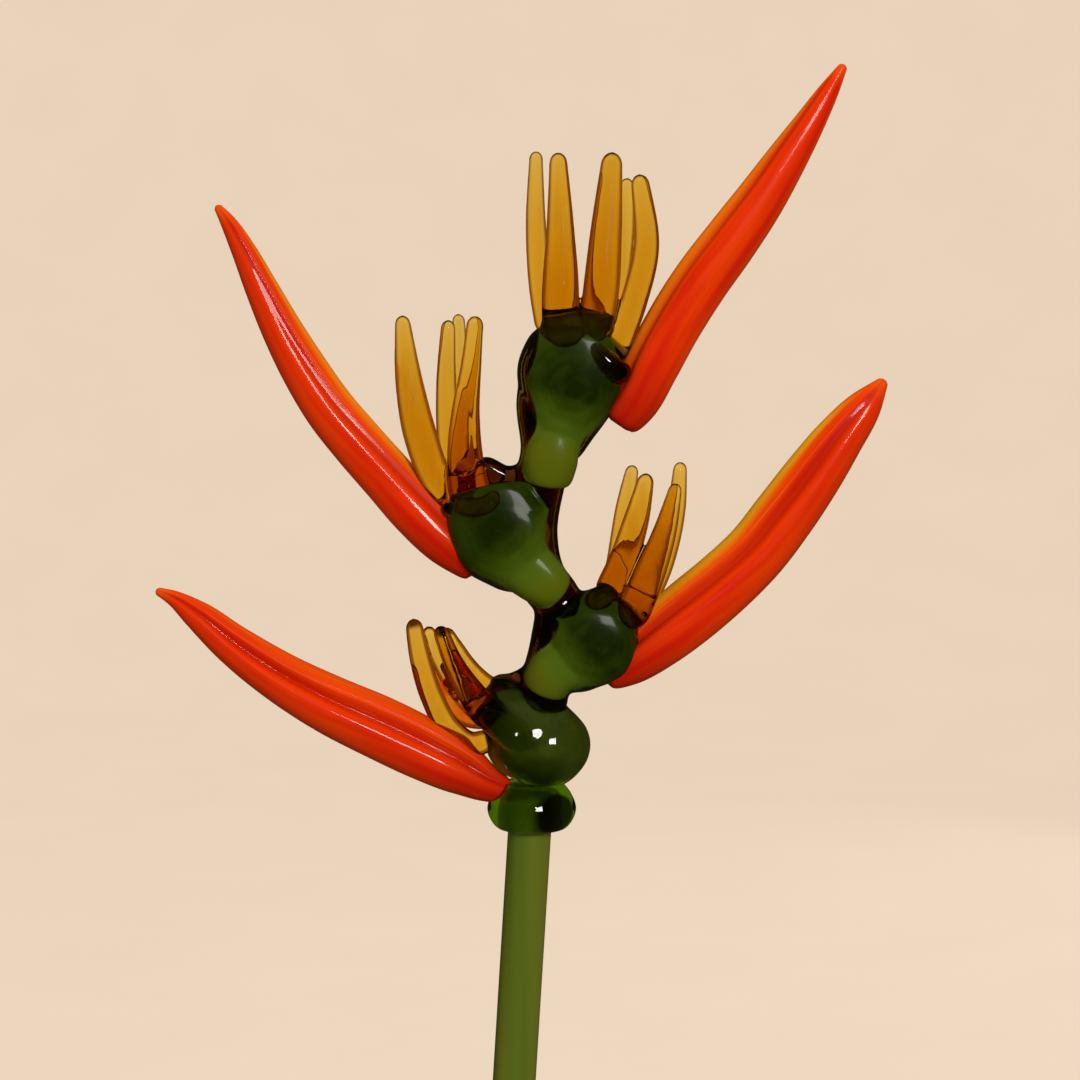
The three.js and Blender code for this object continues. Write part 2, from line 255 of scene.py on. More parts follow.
def clear_glass(name, per_millimetre, ior=1.5, ripple=120, spots=(), rim=0, glint=1):
    """Glass that is seen through: faint waves from the flame in its surface, and a haze in places. Each
    spot of (x, y, z, radius, tint), in metres, is tinted, with a wavering edge: the soot spots are real
    marks, and the other spots are painted reflections. With a rim, a painted shade makes the glass darker
    and redder where it curves away from the view, and it has fine streaks: a lower rim is a broader one.
    glint is how strongly it mirrors."""
    tint = (glint, glint, glint, 1)
    glass = Shader(name, IOR=ior, Transmission_Weight=1.0, Specular_Tint=tint)
    glass.absorb(*per_millimetre)
    waves = glass.noise(ripple, detail=2)
    haze = glass.noise(3 * ripple, detail=4).rise(0.5, 0.8)
    place = glass.node("ShaderNodeTexCoord", out="Object")
    clear = (1, 1, 1, 1)
    # The soot spots are real marks; the collar's dark spot and the red spots on the florets are painted
    # reflections.
    for *centre, radius, spot_tint in spots:
        apart = glass.node("ShaderNodeVectorMath", {"operation": "DISTANCE"}, {0: place, 1: centre}, 1)
        outside = (apart / radius + SPOT_WAVER * waves).rise(*SPOT_EDGE)
        clear = glass.mix(outside, spot_tint, clear)
    # Painted shade: the rim darkens and reddens as the surface turns away from the view.
    if rim:
        facing = glass.node("ShaderNodeLayerWeight", None, {"Blend": 0.5}, 1)
        streaks = glass.noise(STREAKS, detail=2, stretch=(1, 1, 0.03)).rise(0.45, 0.75)
        shade = facing.rise(RIM_START * rim, rim) + STREAK_SHADE * streaks
        clear = glass.mix(shade, clear, PAINTED_RIM_SHADE)
    return glass.wear(waves, RIPPLE_DEPTH, Base_Color=clear, Roughness=POLISH + HAZE * haze)


vase_glass = clear_glass("vase glass", VASE_CLEAR, ripple=30)
wall = [*through(VASE_OUTSIDE, steps=90), *through(VASE_INSIDE, steps=90)]
vase_mesh = turned("vase", [UNDERSIDE_MIDDLE, *wall, VASE_FLOOR_MIDDLE])
finished(vase_mesh, "blown_vase", "vase_glass", vase_glass, "vase")

# ------------------------------------------------------------------------------------------------ Stem
# A solid rod of soft green glass, 8 mm thick, fire-polished at its foot. Its top runs up inside the
# collar, which is wound round it.

ROD_RADIUS = 4
ROD_CORNER = 1.8
STEM_LENGTH = 325  # from its foot to the collar's lower edge
STEM_SUNK = 6.5  # how far its top runs up inside the collar
LEAN = math.radians(3.5)
STEM_AT_NECK = 3.42  # how far the leaning stem is from the vase's axis, at the neck
FOOT_GAP = 0.3  # between the stem's foot and the vase's floor

DARK_STREAK, LIGHT_STREAK = (0.058, 0.114, 0.008, 1), (0.092, 0.162, 0.013, 1)
STEM_OLIVE = (0.132, 0.152, 0.010, 1)
# Painted light: a paler, warmer colour for the rod's right side, where the window's light falls, and its
# share.
STEM_PAINTED_LIGHT = (0.260, 0.225, 0.028, 1)
STEM_PAINTED_LIGHT_SHARE = 0.6
STREAK_DEPTH = 0.00003  # metres

foot_x = STEM_AT_NECK - (VASE_NECK_HEIGHT - VASE_FLOOR) * math.tan(LEAN)
root_x = foot_x + STEM_LENGTH * math.sin(LEAN)
root_z = VASE_FLOOR + FOOT_GAP + STEM_LENGTH * math.cos(LEAN)
flower_root = Matrix.Translation((root_x, 0, root_z))


def green_rod():
    """Green glass drawn lengthwise: fine streaks along the rod, from grass green to olive, and painted
    light along one side, the +X side, which is paler and warmer where the window's light falls."""
    glass = Shader("stem green", IOR=1.5, Specular_IOR_Level=0.2, Coat_Weight=0.6, Coat_Roughness=0.03)
    along = glass.node("ShaderNodeUVMap", {"uv_map": "Along"})
    turn = glass.node("ShaderNodeSeparateXYZ", None, {0: along}, 0)
    side = abs(turn - 0.5).rise(0.28, 0.5)
    streak = glass.noise(420, detail=4, stretch=(1, 1, 0.02))
    broad = glass.noise(160, detail=1, stretch=(1, 1, 0.01))
    green = glass.mix(streak, DARK_STREAK, LIGHT_STREAK)
    olive = glass.mix(broad.rise(0.5, 0.75), green, STEM_OLIVE)
    # Painted light along the +X side, where the window lamp falls.
    olive = glass.mix(STEM_PAINTED_LIGHT_SHARE * side, olive, STEM_PAINTED_LIGHT)
    return glass.wear(streak, STREAK_DEPTH, Base_Color=olive, Roughness=0.2 + 0.12 * streak)


def rounded_rod(radius, low, high, corner):
    """The profile of a rod from low to high whose ends are turned over in quarter circles."""
    bend = np.linspace(0, math.pi / 2, 8)
    flat, rise = radius - corner + corner * np.sin(bend), corner - corner * np.cos(bend)
    return [*zip(flat, low + rise), *zip(flat[::-1], high - rise[::-1])]


stem_profile = rounded_rod(ROD_RADIUS, -STEM_LENGTH, STEM_SUNK, ROD_CORNER)
stem_mesh = turned("stem", stem_profile, sides=64)
stem_mesh.transform(flower_root @ Matrix.Rotation(LEAN, 4, "Y"))
finished(stem_mesh, "green_stem", "stem_glass", green_rod(), "stem")

# ---------------------------------------------------------------------------------------------- Collar
# A bead of clear deep green glass, wound round the top of the stem while both were hot. The stem's end
# shows inside it, and its front right is painted near black: a painted reflection of dark surroundings.

COLLAR_HEIGHT = 9.2
COLLAR_SIDE = [(3.5, 0), (6.4, 0.8), (8.2, 4.2), (7.2, COLLAR_HEIGHT - 2), (5.6, COLLAR_HEIGHT)]
COLLAR_ASIDE = 0.4
COLLAR_GREEN = (0.82, 0.885, 0.56)
# A painted reflection: a near-black spot painted into the collar's glass at its front right, where dark
# surroundings are mirrored.
DARK_REFLECTION, DARK_REFLECTION_TINT = (5.2, -6.2, 4, 4.4), (0.01, 0.01, 0.005, 1)


def tinted_spot(spot, spot_tint):
    """A spot of (x, y, z, radius), measured from the flower's root, as clear_glass takes it."""
    return (*(MM * (flower_root @ Vector(spot[:3]))), MM * spot[3], spot_tint)


collar_glass = clear_glass("collar glass", COLLAR_GREEN, spots=[tinted_spot(DARK_REFLECTION, DARK_REFLECTION_TINT)])
collar_mesh = turned("collar", through(COLLAR_SIDE, steps=48), sides=96)
collar_mesh.transform(flower_root @ Matrix.Translation((COLLAR_ASIDE, 0, 0)))
finished(collar_mesh, "collar_bead", "collar_glass", collar_glass, "collar")

# ---------------------------------------------------------------------------------------------- Rachis
# The flower's backbone: a dark olive rod, clear where it is thin, that zigzags up through four bulbs.
# It is one body of glass, melted together in the flame.

# A run of glass is a list of stations (x, y, z, radius), measured from the flower's root.
ZIGZAG = [
    (2.2, 0, 23.4, 4.8), (2.5, 0, 25.4, 4.7), (3, 0, 28, 4.6), (4.8, 0, 35, 4.7), (5.2, 0, 42.4, 4.6),
    (2, 0, 47.2, 4.7), (0.4, 0, 55, 4.8), (1.8, 0, 64.2, 4.7), (3.2, 0, 70, 4.9), (2.6, 0, 80, 5),
    (4.4, 0, 89, 4),
]
WEBS = [
    [(-6.6, 0.6, 27, 2.4), (-3.4, 0.4, 27.2, 2.2), (1.6, 0, 29.4, 2.8)],
    [(-9, 0, 68, 2.2), (-6.6, 0, 66.4, 2.3), (-3.9, 0, 65.2, 2.3), (-1.6, 0, 66.4, 2.4)],
]
DRIPS = [
    [(10.6, -5.6, 90, 0.9), (12.2, -6, 88.6, 1.6), (14.2, -6, 86.4, 2.1), (16, -5.2, 85, 2.3),
     (17.4, -4.2, 85.6, 1.7)],
    [(-15.4, -2.6, 60.6, 1), (-14.2, -3.4, 59.6, 1.3), (-12.6, -4, 59.6, 1)],
]
# For each bulb: its base, its top, and pairs of the way up and the radius there.
BULBS = [
    ((5.4, 0, 9.6), (-6.4, 0, 26.4), [(0, 3), (3, 5.6), (8, 8.2), (12, 7.8), (16, 5.9), (20, 3.6)]),
    ((5.6, 0, 27.4), (17, 0, 43.3), [(0, 3), (3, 5.8), (8.5, 9.1), (13, 8.5), (16.6, 6), (19, 3)]),
    ((0.6, 0, 46), (-9.7, 0, 62.3), [(0, 3.6), (3, 6.4), (9, 9.5), (13, 9.2), (17, 6.8), (19, 3.4)]),
    ((5, 0, 68.4), (9.2, 0, 93.6), [(0, 3), (4, 5.6), (9, 8.4), (14, 10), (19, 8.9), (22.6, 5.4)]),
]
PRESSED_FROM = 6.6  # how far forward the bulbs reach before the plate flattens them
PRESSED_SHARE = 0.25
PRESSED_KNEE = 0.5
MELT_GRAIN = 0.35
DARK_OLIVE = (0.56, 0.43, 0.27)

FRONT = np.array([0, -1, 0.0])
END_DOME = 0.4  # how far a swept body's round end stands past its last station, in radii
DOME_LENGTH = 1.2  # the length of a round end, in radii
DOME_START = 0.004  # where on a round end its first ring is, as a share of that length


def swept(name, stations, sides=32, steps=96, outline=None, opening=FRONT, hand=1, blunt=2):
    """A section carried along the smooth curve through stations of (x, y, z, radius), with domed ends.
    At each step the section's reach at an angle is the radius times outline(angle, way along), and angle 0
    faces the opening. Near an end the radius follows a quarter of a superellipse of the power blunt."""
    ends = np.array(stations, float)
    for here, inner in ((0, 1), (-1, -2)):
        out = ends[here, :3] - ends[inner, :3]
        ends[here, :3] += END_DOME * ends[here, 3] * out / np.linalg.norm(out)
    line = through(ends, steps)
    centre, radius = line[:, :3], line[:, 3]
    tangent = np.gradient(centre, axis=0)
    tangent /= np.linalg.norm(tangent, axis=1, keepdims=True)
    way = np.r_[0, np.cumsum(np.linalg.norm(np.diff(centre, axis=0), axis=1))]
    dome = np.minimum(way / (DOME_LENGTH * radius[0]), (way[-1] - way) / (DOME_LENGTH * radius[-1]))
    radius = radius * (1 - (1 - np.clip(dome, DOME_START, 1)) ** blunt) ** (1 / blunt)
    facing = opening(tangent) if callable(opening) else np.tile(opening, (steps, 1))
    facing = facing - tangent * np.sum(facing * tangent, axis=1, keepdims=True)
    facing /= np.linalg.norm(facing, axis=1, keepdims=True)
    across = hand * np.cross(facing, tangent)
    angle = np.linspace(-math.pi, math.pi, sides, endpoint=False)
    reach = radius[:, None] * (outline(angle[None], way[:, None] / way[-1]) if outline else np.ones(sides))
    rings = centre[:, None] + reach[..., None] * (
        np.cos(angle)[None, :, None] * facing[:, None] + np.sin(angle)[None, :, None] * across[:, None]
    )
    return ringed(name, rings, [centre[0], centre[-1]], hand > 0)


def joined(name, meshes):
    """One piece that holds all the meshes, each still a body of its own."""
    gathered = bmesh.new()
    for mesh in meshes:
        gathered.from_mesh(mesh)
    whole = bpy.data.meshes.new(name)
    gathered.to_mesh(whole)
    gathered.free()
    piece = bpy.data.objects.new(name, whole)
    bpy.context.collection.objects.link(piece)
    return piece


def melted(name, meshes, grain, rounds):
    """The meshes melted into one: made one skin of squares of the size grain, and smoothed."""
    piece = joined(name, meshes)
    skin = piece.modifiers.new("skin", "REMESH")
    skin.mode, skin.voxel_size, skin.use_smooth_shade = "VOXEL", grain, True
    flame = piece.modifiers.new("flame", "SMOOTH")
    flame.factor, flame.iterations = 0.5, rounds
    return applied(piece)


def applied(piece):
    """The mesh that a piece's modifiers make of it. The piece itself is removed."""
    made = bpy.data.meshes.new_from_object(piece.evaluated_get(bpy.context.evaluated_depsgraph_get()))
    bpy.data.objects.remove(piece)
    return made


def bulb(base, top, girth):
    """A bulb swept from its base to its top, through pairs of the way up and the radius there."""
    base, top = np.array(base, float), np.array(top, float)
    length = girth[-1][0]
    return swept("bulb", [(*(base + (top - base) * way / length), radius) for way, radius in girth])


def pressed(mesh, depth):
    """The mesh with its front pressed flatter on a plate: what reaches further forward than the depth
    keeps only a share of what is past it. A soft knee joins the two."""
    points = np.empty(3 * len(mesh.vertices))
    mesh.vertices.foreach_get("co", points)
    points = points.reshape(-1, 3)
    past = PRESSED_KNEE * np.logaddexp(0, (points @ FRONT - depth) / PRESSED_KNEE)
    points -= (1 - PRESSED_SHARE) * past[:, None] * FRONT
    mesh.vertices.foreach_set("co", points.ravel())
    mesh.update()
    return mesh


dark_glass = clear_glass("dark olive glass", DARK_OLIVE)
rachis_parts = [swept("zigzag", ZIGZAG, sides=48, steps=200, blunt=5)]
rachis_parts += [pressed(bulb(*measures), PRESSED_FROM) for measures in BULBS[1:]]
rachis_parts += [swept("web", stations) for stations in WEBS]
rachis_plain = melted("rachis", rachis_parts, MELT_GRAIN, rounds=12)
drips = [swept("drip", stations) for stations in DRIPS]
rachis_mesh = melted("rachis", [rachis_plain, *drips], MELT_GRAIN, rounds=6)
rachis_mesh.transform(flower_root)
finished(rachis_mesh, "dark_rachis", "dark_glass", dark_glass, "rachis")

# --------------------------------------------------------------------------------------- Lowest bulb
# The lowest bulb is a ball of deep green glass, gathered on a darker core. The core reaches up into the
# shoulder that the lowest florets are set in. A round stub is melted on at the front.

LOWEST_BALL = (2.8, 0)
LOWEST_BALL_SIDE = [
    (2, 8), (4.6, 9.4), (6.5, 11.2), (7.9, 13.4), (8.45, 16.3), (7.7, 19.2), (6.2, 21.2), (4.6, 22.8),
    (3.4, 24), (2, 25),
]
STUB = [(-8.4, -4, 23, 2.6), (-5, -6.8, 20.6, 2.9), (-1.4, -8.8, 17.6, 2.8)]
CORE = [(2.8, 0, 12.2, 3.8), (2.8, 0, 16, 6.2), (2.4, 0, 20, 5), (2.2, 0, 23.4, 3)]
SHOULDER_CORE = [(1.2, 0, 14.6, 6), (-2, 0, 20.5, 5.4), (-5.4, 0, 24.4, 3.2)]
CORE_GRAIN = 0.5
BOTTLE_GREEN = (0.85, 0.885, 0.66)
CORE_DARK, CORE_LIGHT = (0.018, 0.036, 0.002, 1), (0.075, 0.125, 0.006, 1)
CORE_BUMP = 0.0001  # metres

ball_turned = turned("ball", through(LOWEST_BALL_SIDE, steps=64), sides=96)
ball_turned.transform(Matrix.Translation((*LOWEST_BALL, 0)))
ball_parts = [ball_turned, bulb(*BULBS[0]), swept("stub", STUB)]
ball_mesh = melted("ball", ball_parts, MELT_GRAIN, rounds=6)
ball_mesh.transform(flower_root)
ball_glass = clear_glass("bottle green glass", BOTTLE_GREEN)
finished(ball_mesh, "lowest_bulb", "dark_glass", ball_glass, "rachis")

core_parts = [swept("core", CORE), swept("core", SHOULDER_CORE)]
core_mesh = melted("core", core_parts, CORE_GRAIN, rounds=6)
core_mesh.transform(flower_root)
core_shader = Shader("dark core", Roughness=0.4)
core_green = core_shader.mix(core_shader.noise(300), CORE_DARK, CORE_LIGHT)
core_glass = core_shader.wear(core_shader.noise(200), CORE_BUMP, Base_Color=core_green)
finished(core_mesh, "bulb_core", "dark_glass", core_glass)

# -------------------------------------------------------------------------------------------- Hearts
# Each of the upper three bulbs has a heart of opaque green glass. It fills the bulb's front, flush with
# the dark glass round it. Its blunt foot is light green, and the green deepens where it swells.

HEARTS = [
    [(3.4, -1.6, 27.8, 4.3), (4.2, -2.2, 29.6, 4.7), (7, -1.8, 31.6, 5.3), (11.6, -0.6, 35.2, 8.2),
     (13.3, -0.6, 39.4, 6), (12.6, -2.2, 43.4, 3)],
    [(4, -1.6, 45.2, 4), (2.6, -2.2, 46.4, 4.7), (-1, -1.8, 49.6, 5.6), (-5.4, -0.6, 56.2, 9.6),
     (-6.2, -0.2, 61, 7.8)],
    [(3.4, -1.6, 66, 4.5), (3.9, -2.2, 69, 5), (5.3, -1.8, 73.2, 4.4), (8, -0.4, 81.8, 8.7),
     (8.4, 0, 86.6, 7.6), (7.9, 0, 93, 5.8)],
]
FLUSH = 0.08  # how far a heart's front stands out of the dark glass, so that none of it veils the green
TO_THE_FRONT = 12  # how far a heart is drawn forward before it is cut off flush
SET_BACK = 0.5  # how much further back than the bulbs the hearts are pressed
HEART_GRAIN = 0.25
SWELL = 3  # which of a heart's stations is its swell
HEART_GREENS = [
    (0.00, (0.008, 0.015, 0.000)), (0.12, (0.017, 0.032, 0.001)), (0.24, (0.028, 0.048, 0.001)),
    (0.38, (0.046, 0.080, 0.003)), (0.54, (0.068, 0.116, 0.006)), (0.78, (0.080, 0.122, 0.006)),
    (1.00, (0.092, 0.116, 0.004)),
]
WOUND_DEPTH = 0.00006  # metres


def moved(mesh, shift):
    """A copy of the mesh, each point moved by shift(its normal)."""
    copy = mesh.copy()
    points, normals = np.empty(3 * len(copy.vertices)), np.empty(3 * len(copy.vertices))
    copy.vertices.foreach_get("co", points)
    copy.vertex_normals.foreach_get("vector", normals)
    copy.vertices.foreach_set("co", points + shift(normals.reshape(-1, 3)).ravel())
    copy.update()
    return copy


def common(name, first, second):
    """What two closed meshes have in common."""
    kept, cutter = joined(name, [first]), joined("cutter", [second])
    cut = kept.modifiers.new("cut", "BOOLEAN")
    cut.operation, cut.object, cut.solver = "INTERSECT", cutter, "MANIFOLD"
    made = applied(kept)
    bpy.data.objects.remove(cutter)
    return made


def heart_green(foot, swell, girth):
    """Opaque green under a clear skin, wound in faint rings round the swell's centre. Seen from the front
    it is near black there, goes to olive towards the rim, and is light green all along the foot."""
    glass = Shader("heart green", IOR=1.5, Specular_IOR_Level=0.05, Coat_Weight=0.1, Coat_Roughness=0.1)
    place = glass.node("ShaderNodeTexCoord", out="Object")
    apart = glass.node("ShaderNodeVectorMath", {"operation": "SUBTRACT"}, {0: place, 1: swell})
    flat = glass.node("ShaderNodeVectorMath", {"operation": "MULTIPLY"}, {0: apart, 1: (1, 0, 1)})
    away = glass.node("ShaderNodeVectorMath", {"operation": "LENGTH"}, {0: flat}, 1) / girth
    down = glass.node("ShaderNodeVectorMath", {"operation": "DOT_PRODUCT"}, {0: flat, 1: foot}, 1) / girth
    aside = glass.node("ShaderNodeSeparateXYZ", None, {0: apart}, 0)
    above = glass.node("ShaderNodeSeparateXYZ", None, {0: apart}, 2)
    turn = glass.node("ShaderNodeMath", {"operation": "ARCTAN2"}, {0: above, 1: aside})
    cloud = glass.noise(260, detail=3)
    wound = glass.node("ShaderNodeCombineXYZ", None, {0: 5 * away, 1: 0.7 * turn})
    drawn = glass.noise(1.0, wound, detail=4)
    # pale is 0 at the swell's centre and grows outwards, and fastest down the foot.
    pale = down * down.rise(0, 0.3) + 0.3 * away * away - 0.1 * (aside / girth)
    pale = pale + 0.5 * cloud + 0.5 * drawn - 0.5
    green = glass.node("ShaderNodeValToRGB", {"stops": HEART_GREENS}, {0: pale / 2})
    ripple = cloud + 0.4 * drawn
    return glass.wear(ripple, WOUND_DEPTH, Base_Color=green, Roughness=0.2 + 0.1 * cloud)


casing = moved(rachis_plain, lambda normals: FLUSH * normals)
for number, stations in enumerate(HEARTS, 2):
    own = pressed(swept("heart", stations, sides=64, blunt=7), PRESSED_FROM - SET_BACK)
    front = moved(own, lambda normals: TO_THE_FRONT * np.where(normals @ FRONT > 0, 1, 0)[:, None] * FRONT)
    heart_mesh = melted("heart", [own, common("front", front, casing)], HEART_GRAIN, rounds=3)
    heart_mesh.transform(flower_root)
    swell, girth = Vector(stations[SWELL][:3]), stations[SWELL][3]
    towards_foot = Vector(stations[0][:3]) - swell
    towards_foot = Vector((towards_foot.x, 0, towards_foot.z)).normalized()
    heart_glass = heart_green(towards_foot, MM * (flower_root @ swell), MM * girth)
    finished(heart_mesh, f"green_heart_{number}", "heart_glass", heart_glass, f"heart_{number}")

# -------------------------------------------------------------------------------------------- Bracts
# A bract is a thick bar of red-orange glass, pressed along its length with a blade while it was soft,
# which leaves a crease between two round lips, and then drawn out to a nib. It is fused on by its root.

# For each bract: how far its crease is rolled to the front, in degrees, at the root and at the nib; its
# side of the flower; the crease's depth; how yellow its inner edge is; its polish; and its stations.
BRACTS = [
    ((58, 76), -1, 0.42, 0.05, 0.9, [
        (-4.8, -1, 7.8, 2.4), (-8.4, -1.4, 9.4, 3.9), (-12.4, -1.6, 11.8, 5.2), (-20, -2, 15.8, 6.1),
        (-28, -2.4, 19.8, 6.2), (-36, -2.8, 23.6, 5.8), (-45, -3, 28.6, 5), (-54, -3, 34.8, 4),
        (-61, -3, 40.6, 2.8), (-65.3, -3, 43.6, 1.5), (-68, -3, 44.8, 0.7),
    ]),
    ((52, 84), 1, 0.3, 1, 0.5, [
        (14.6, -0.5, 29.2, 3), (18.5, 0, 31.8, 5), (23.5, 0.5, 35.8, 6.1), (29.5, 1, 40.6, 6.5),
        (35.5, 1.5, 45.6, 6.4), (41.5, 1.8, 51.4, 6.2), (47, 2, 58.5, 6.1), (52, 2, 65.5, 5.7),
        (57, 2, 72.6, 4.8), (61.8, 2, 78.8, 3.3), (65, 2, 83, 0.9),
    ]),
    ((50, 84), -1, 0.11, 0.45, 0.7, [
        (-10.5, 0, 49, 2.8), (-15, 0.4, 53.4, 4.8), (-20.5, 1, 59.2, 5.4), (-26, 1.5, 65.4, 5.3),
        (-31.5, 2, 71.6, 5.2), (-36.6, 2.3, 77.8, 5), (-41.4, 2.5, 85.2, 4.6), (-45.4, 2.5, 92.4, 4),
        (-49.3, 2.5, 100.4, 3.2), (-52.4, 2.5, 107, 2.4), (-55.3, 2.5, 112.3, 1.5),
        (-57.1, 2.5, 114.9, 0.7),
    ]),
    ((36, 44), 1, 0.2, 0.3, 0.25, [
        (17, -1, 76.4, 3.8), (19.2, -1, 79.6, 4.9), (22.2, -1, 85.8, 5.4), (26, -1.2, 93, 5.5),
        (31, -1.6, 101, 5.5), (36.5, -2, 108.5, 5.3), (41.6, -2.2, 115.6, 4.8), (46.3, -2.4, 122.8, 4),
        (50.6, -2.5, 129.6, 3), (54.3, -2.5, 135.8, 1.9), (56.7, -2.5, 139.9, 0.8),
    ]),
]
CREASE_SPREAD = 0.28  # radians
CREASE_GROWS, CREASE_FADES = 0.12, 0.35  # the shares of the length over which it deepens and runs out
BRACT_GIRTH = 0.94
DEEP_RED, BRIGHT_RED = (0.66, 0.012, 0.001, 1), (0.86, 0.050, 0.001, 1)
OUTER_RED = (0.86, 0.090, 0.004, 1)
WARM_RED = (0.88, 0.090, 0.001, 1)
STREAK_ORANGE = (0.90, 0.140, 0.004, 1)
# the painted shade in the crease
CREASE_PAINTED_SHADE = (0.44, 0.007, 0.001, 1)
ROOT_RED = (0.40, 0.006, 0.001, 1)
EDGE_YELLOW = (0.92, 0.420, 0.010, 1)
NIB_ORANGE = (0.90, 0.110, 0.006, 1)
DRAWN_DEPTH = 0.00008  # metres


def creased(angle, way, depth):
    """Round, less a bell-shaped crease at angle 0, which is deepest along the middle of the bract. The
    depth is the share of the reach that the crease takes."""
    fade = np.clip(way / CREASE_GROWS, 0, 1) * np.clip((1 - way) / CREASE_FADES, 0, 1)
    return BRACT_GIRTH * (1 - depth * fade * np.exp(-((angle / CREASE_SPREAD) ** 2)))


def rolled(tangent, side, rolls):
    """The way a crease faces at each step: up and in to the florets, square to the bract, and from there
    turned to the front by an angle that goes evenly from the first of the rolls to the second."""
    inward = np.stack([-side * tangent[:, 2], 0 * tangent[:, 0], side * tangent[:, 0]], 1)
    roll = np.radians(np.linspace(*rolls, len(tangent)))[:, None]
    return inward * np.cos(roll) + FRONT * np.sin(roll)


def bract_red(rolls, paleness, polish):
    """Opaque red-orange glass drawn into streaks along the bract: deep red at the root, darkened by
    painted shade in the crease, and paling to yellow along the edge that faces the florets. Its clear skin
    is polished, but not on the lobe beyond the crease."""
    glass = Shader("bract red", IOR=1.5, Specular_IOR_Level=0.05, Coat_Roughness=0.015)
    along = glass.node("ShaderNodeUVMap", {"uv_map": "Along"})
    turn = glass.node("ShaderNodeSeparateXYZ", None, {0: along}, 0)
    way = glass.node("ShaderNodeSeparateXYZ", None, {0: along}, 1)
    streak = glass.noise(1.0, along, detail=4, stretch=(10, 1.6, 1))
    fine = glass.noise(1.0, along, detail=2, stretch=(80, 3, 1))
    # turn goes once round the bract and is a half in the crease, and way goes from the root to the nib.
    crease = 1 - abs(turn - 0.5).rise(0.01, 0.06)
    far_lobe = turn.rise(0.26, 0.34) * (1 - turn.rise(0.46, 0.50))
    inner = 0.5 - (rolls[0] + (rolls[1] - rolls[0]) * way) / 360
    edge = inner + 0.033
    pale = 1 - abs(turn - edge).rise(0.02, 0.07 + 0.05 * streak)
    pale = pale * way.rise(0.06, 0.25) * (1 - way.rise(0.8, 0.98))
    warm = 1 - abs(turn - edge).rise(0.04, 0.16)
    outer = 1 - abs(turn - inner - 0.46).rise(0.0, 0.10)
    red = glass.mix(streak.rise(0.3, 0.7), DEEP_RED, BRIGHT_RED)
    red = glass.mix(outer * 0.5, red, OUTER_RED)
    red = glass.mix(warm * (0.3 + 0.4 * paleness), red, WARM_RED)
    red = glass.mix(fine.rise(0.5, 0.75) * far_lobe * 0.6, red, STREAK_ORANGE)
    # Painted shade: the crease is darkened, as if in shadow.
    red = glass.mix(crease * 0.6, red, CREASE_PAINTED_SHADE)
    red = glass.mix((1 - way.rise(0.0, 0.22)) * 0.7, red, ROOT_RED)
    red = glass.mix(pale * paleness, red, EDGE_YELLOW)
    red = glass.mix(way.rise(0.94, 1.0) * 0.6, red, NIB_ORANGE)
    handled = glass.noise(1.0, along, detail=2, stretch=(1.5, 5, 1)).rise(0.4, 0.6)
    polish = polish * (1 - 0.95 * far_lobe) * (0.35 + 0.65 * handled)
    drawn = far_lobe * (streak + 0.5 * fine)
    rough = 0.3 + 0.1 * fine
    return glass.wear(drawn, DRAWN_DEPTH, Base_Color=red, Roughness=rough, Coat_Weight=polish)


for number, (rolls, side, depth, paleness, polish, stations) in enumerate(BRACTS, 1):
    bract_mesh = swept(
        "bract", stations, sides=96, steps=220, hand=-side, blunt=5,
        outline=lambda angle, way: creased(angle, way, depth),
        opening=lambda tangent: rolled(tangent, side, rolls),
    )
    bract_mesh.transform(flower_root)
    red_glass = bract_red(rolls, paleness, polish)
    finished(bract_mesh, f"red_bract_{number}", "red_glass", red_glass, f"bract_{number}")
